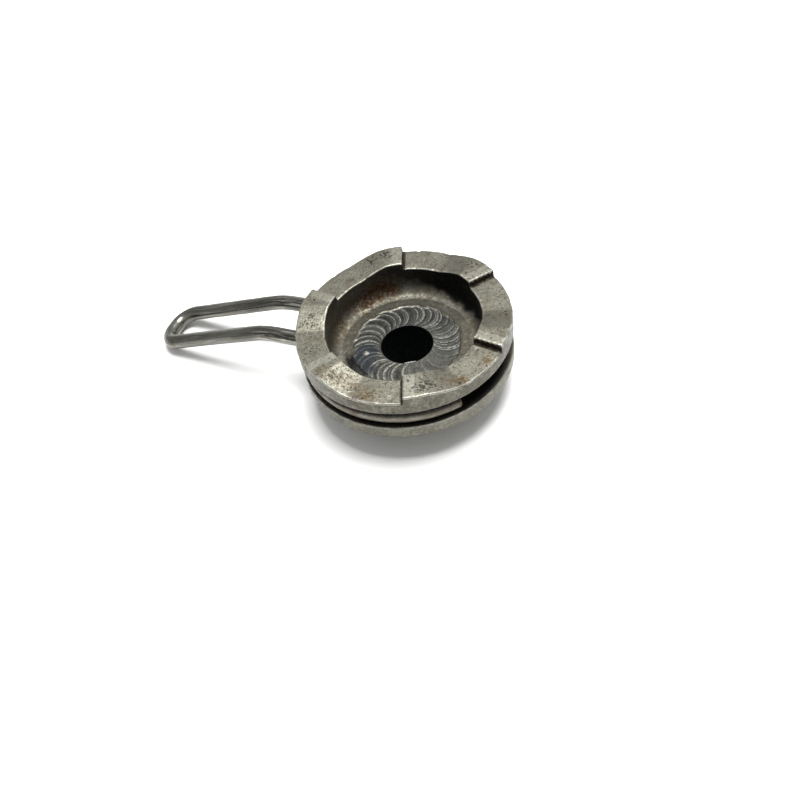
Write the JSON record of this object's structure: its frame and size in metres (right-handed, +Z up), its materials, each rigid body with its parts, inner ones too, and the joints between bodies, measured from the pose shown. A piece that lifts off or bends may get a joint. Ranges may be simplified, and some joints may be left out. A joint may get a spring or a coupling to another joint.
{
  "type": "ratchet dog with drag clip",
  "caption": "Cupped steel ratchet dog with one-way face ramps, a central bore, a flange and a groove, and a bent wire drag clip that rides in the groove.",
  "frame": {"origin": "on the bore's axis, in the plane of the hub's foot", "axes": "+Z up along the bore, from the hub's foot towards the ramp teeth; the clip's tail lies along -X"},
  "size_m": [0.0955, 0.05, 0.0214],
  "materials": {
    "dog_steel": "worn bare steel with oil stains and light rust",
    "clip_wire": "oiled dark spring wire, drawn lengthways"
  },
  "bodies": {
    "dog": {"ratchet_body": "dog_steel"},
    "clip": {"friction_clip": "clip_wire"}
  },
  "joints": [
    {"name": "clip_slip", "type": "hinge", "parent": "dog", "child": "clip", "pos_m": [0, 0, 0.0136], "axis": [0, 0, 1], "continuous": true}
  ]
}
